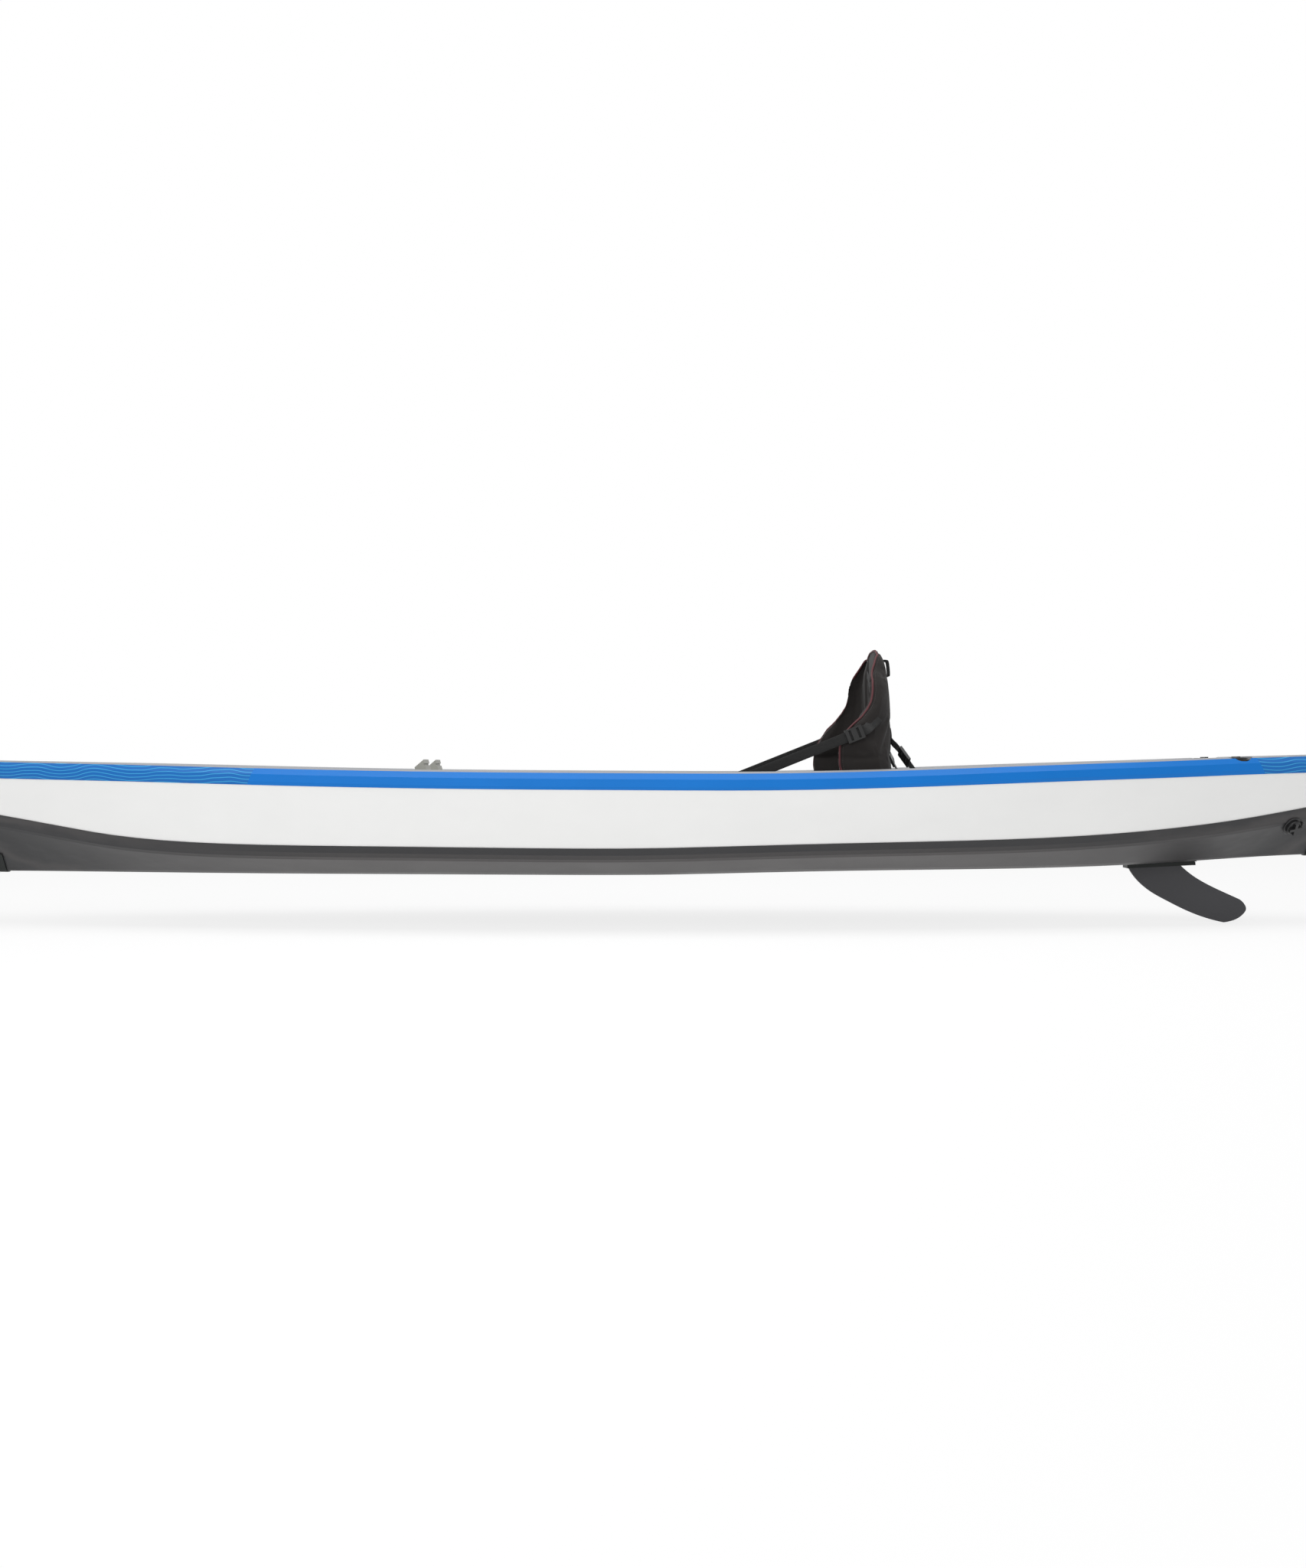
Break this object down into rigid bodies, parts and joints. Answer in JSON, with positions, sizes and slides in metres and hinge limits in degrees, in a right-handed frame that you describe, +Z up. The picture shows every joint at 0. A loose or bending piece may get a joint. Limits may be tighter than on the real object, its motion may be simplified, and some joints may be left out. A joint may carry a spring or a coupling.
{
  "type": "inflatable kayak",
  "caption": "Long slim inflatable kayak with flat-panel side walls and floor, dark bottom skin, moulded ends, strapped seat, foot brace, skeg, valves and carry handles.",
  "frame": {"origin": "on the flat bottom, on the middle line, halfway along the hull", "axes": "+X to the stern, +Y to starboard, +Z up; the flat bottom lies in Z = 0"},
  "size_m": [3.91, 0.6946, 0.7004],
  "materials": {
    "wall_fabric": "smooth coated fabric, off-white",
    "floor_fabric": "smooth coated fabric, light grey",
    "rail_fabric": "smooth coated fabric, blue",
    "bottom_fabric": "reinforced coated fabric, dark grey",
    "hard_plastic": "moulded plastic, greenish black",
    "valve_plastic": "black plastic",
    "brace_plastic": "light grey plastic",
    "steel": "stainless steel",
    "grip_rubber": "black rubber",
    "webbing": "woven black webbing",
    "seat_cloth": "brownish-black woven cloth over foam",
    "buckle_plastic": "black plastic"
  },
  "bodies": {
    "hull": {"port_side_chamber": "wall_fabric", "starboard_side_chamber": "wall_fabric", "floor_chamber": "floor_fabric", "port_rail_band": "rail_fabric", "starboard_rail_band": "rail_fabric", "bottom_skin": "bottom_fabric", "bow_moulding": "hard_plastic", "stern_moulding": "hard_plastic", "bow_handle_pin": "steel", "stern_handle_pin": "steel", "port_valve_body": "valve_plastic", "starboard_valve_body": "valve_plastic", "floor_valve_body": "valve_plastic", "drain_flange": "valve_plastic", "skeg_base": "hard_plastic", "brace_straps": "floor_fabric", "seat_cushion": "seat_cloth", "strap_hooks": "steel", "seat_rings": "steel", "seat_ring_patches": "floor_fabric", "port_valve_spring": "steel", "starboard_valve_spring": "steel", "floor_valve_spring": "steel"},
    "backrest": {"seat_back_pad": "seat_cloth", "seat_back_loop": "webbing", "port_front_strap": "webbing", "starboard_front_strap": "webbing", "port_rear_strap": "webbing", "starboard_rear_strap": "webbing", "seat_buckles": "buckle_plastic"},
    "skeg": {"skeg_fin": "hard_plastic"},
    "skeg_lock": {"skeg_wedge": "valve_plastic"},
    "foot_brace": {"brace_base": "brace_plastic", "pedal_pins": "steel"},
    "port_foot_pedal": {"port_pedal": "brace_plastic"},
    "starboard_foot_pedal": {"starboard_pedal": "brace_plastic"},
    "bow_handle": {"bow_handle_strap": "webbing", "bow_handle_grip": "grip_rubber"},
    "stern_handle": {"stern_handle_strap": "webbing", "stern_handle_grip": "grip_rubber"},
    "drain_hinge": {"drain_tether": "valve_plastic"},
    "drain_plug": {"drain_cap": "valve_plastic"},
    "port_valve_hinge": {"port_valve_tether": "valve_plastic"},
    "port_valve_lid": {"port_valve_cap": "valve_plastic"},
    "port_valve_plunger": {"port_valve_poppet": "valve_plastic"},
    "starboard_valve_hinge": {"starboard_valve_tether": "valve_plastic"},
    "starboard_valve_lid": {"starboard_valve_cap": "valve_plastic"},
    "starboard_valve_plunger": {"starboard_valve_poppet": "valve_plastic"},
    "floor_valve_hinge": {"floor_valve_tether": "valve_plastic"},
    "floor_valve_lid": {"floor_valve_cap": "valve_plastic"},
    "floor_valve_plunger": {"floor_valve_poppet": "valve_plastic"}
  },
  "joints": [
    {"name": "skeg_slide", "type": "slide", "parent": "hull", "child": "skeg", "axis": [0.9988, 0, 0.0483], "range_m": [0, 0.17]},
    {"name": "skeg_lock_slide", "type": "slide", "parent": "skeg", "child": "skeg_lock", "axis": [0.9988, 0, 0.0483], "range_m": [0, 0.03]},
    {"name": "backrest_tilt", "type": "hinge", "parent": "hull", "child": "backrest", "pos_m": [0.602, 0, 0.10368], "axis": [0, -1, 0], "range_deg": [-15, 30], "stiffness_Nm_per_rad": 60, "deforming": ["port_front_strap", "starboard_front_strap", "port_rear_strap", "starboard_rear_strap"]},
    {"name": "foot_brace_slide", "type": "slide", "parent": "hull", "child": "foot_brace", "axis": [1, 0, 0], "range_m": [-0.08, 0.08]},
    {"name": "port_pedal_fold", "type": "hinge", "parent": "foot_brace", "child": "port_foot_pedal", "pos_m": [-0.534, -0.12, 0.11764], "axis": [0, 1, 0], "range_deg": [0, 60]},
    {"name": "starboard_pedal_fold", "type": "hinge", "parent": "foot_brace", "child": "starboard_foot_pedal", "pos_m": [-0.534, 0.12, 0.11764], "axis": [0, 1, 0], "range_deg": [0, 60]},
    {"name": "bow_handle_swing", "type": "hinge", "parent": "hull", "child": "bow_handle", "pos_m": [-1.92688, 0, 0.2969], "axis": [0, -1, 0], "range_deg": [0, 140]},
    {"name": "stern_handle_swing", "type": "hinge", "parent": "hull", "child": "stern_handle", "pos_m": [1.92688, 0, 0.3139], "axis": [0, 1, 0], "range_deg": [0, 140]},
    {"name": "port_valve_lift", "type": "hinge", "parent": "hull", "child": "port_valve_hinge", "pos_m": [1.448, -0.09306, 0.2854], "axis": [-1, 0, 0], "range_deg": [0, 110]},
    {"name": "port_valve_turn", "type": "hinge", "parent": "port_valve_hinge", "child": "port_valve_lid", "pos_m": [1.448, -0.12606, 0.2826], "axis": [0, 0, 1], "range_deg": [0, 90]},
    {"name": "port_valve_press", "type": "slide", "parent": "hull", "child": "port_valve_plunger", "axis": [0, 0, -1], "range_m": [0, 0.006], "stiffness_N_per_m": 800, "deforming": ["port_valve_spring"]},
    {"name": "starboard_valve_lift", "type": "hinge", "parent": "hull", "child": "starboard_valve_hinge", "pos_m": [1.448, 0.09306, 0.2854], "axis": [1, 0, 0], "range_deg": [0, 110]},
    {"name": "starboard_valve_turn", "type": "hinge", "parent": "starboard_valve_hinge", "child": "starboard_valve_lid", "pos_m": [1.448, 0.12606, 0.2826], "axis": [0, 0, 1], "range_deg": [0, 90]},
    {"name": "starboard_valve_press", "type": "slide", "parent": "hull", "child": "starboard_valve_plunger", "axis": [0, 0, -1], "range_m": [0, 0.006], "stiffness_N_per_m": 800, "deforming": ["starboard_valve_spring"]},
    {"name": "floor_valve_lift", "type": "hinge", "parent": "hull", "child": "floor_valve_hinge", "pos_m": [1.117, 0, 0.11121], "axis": [0, -1, 0], "range_deg": [0, 110]},
    {"name": "floor_valve_turn", "type": "hinge", "parent": "floor_valve_hinge", "child": "floor_valve_lid", "pos_m": [1.15, 0, 0.10841], "axis": [0, 0, 1], "range_deg": [0, 90]},
    {"name": "floor_valve_press", "type": "slide", "parent": "hull", "child": "floor_valve_plunger", "axis": [0, 0, -1], "range_m": [0, 0.006], "stiffness_N_per_m": 800, "deforming": ["floor_valve_spring"]},
    {"name": "drain_lift", "type": "hinge", "parent": "hull", "child": "drain_hinge", "pos_m": [1.61953, -0.10503, 0.11818], "axis": [0, -0.6337, 0.7736], "range_deg": [0, 110]},
    {"name": "drain_turn", "type": "hinge", "parent": "drain_hinge", "child": "drain_plug", "pos_m": [1.59537, -0.10616, 0.11725], "axis": [0.2979, -0.7385, -0.6049], "range_deg": [0, 90]}
  ]
}
